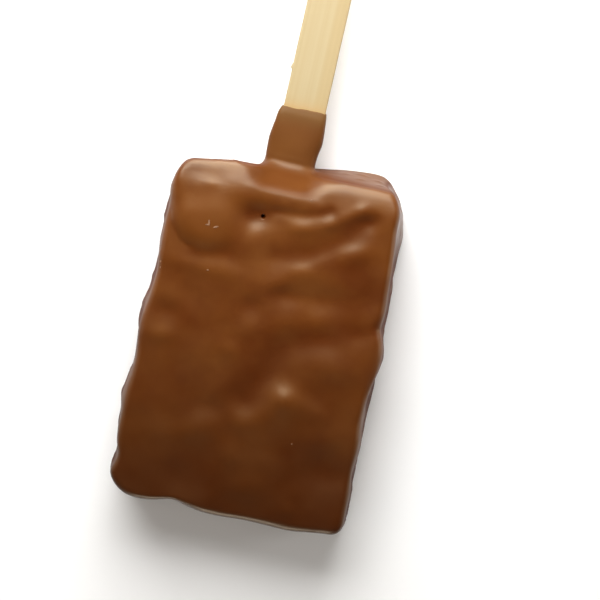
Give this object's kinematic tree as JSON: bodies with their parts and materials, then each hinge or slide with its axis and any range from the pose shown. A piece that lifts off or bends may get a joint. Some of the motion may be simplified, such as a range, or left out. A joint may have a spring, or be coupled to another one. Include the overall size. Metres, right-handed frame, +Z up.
{
  "type": "chocolate-coated crisped rice treat pop",
  "caption": "Crisped-rice bar dipped in milk chocolate on a flat wooden stick, lying on its flat back, with a coating sleeve that runs a little way up the stick.",
  "frame": {"origin": "middle of the bar's flat back, on the surface it lies on", "axes": "+X to the right across the bar seen from the front, +Y along the bar towards the free end of the stick, +Z up out of the front face"},
  "size_m": [0.0604, 0.1428, 0.0221],
  "materials": {
    "milk_chocolate": "satin",
    "pale_wood": "matte"
  },
  "bodies": {
    "root": {"coated_bar": "milk_chocolate", "stick": "pale_wood"}
  },
  "joints": []
}
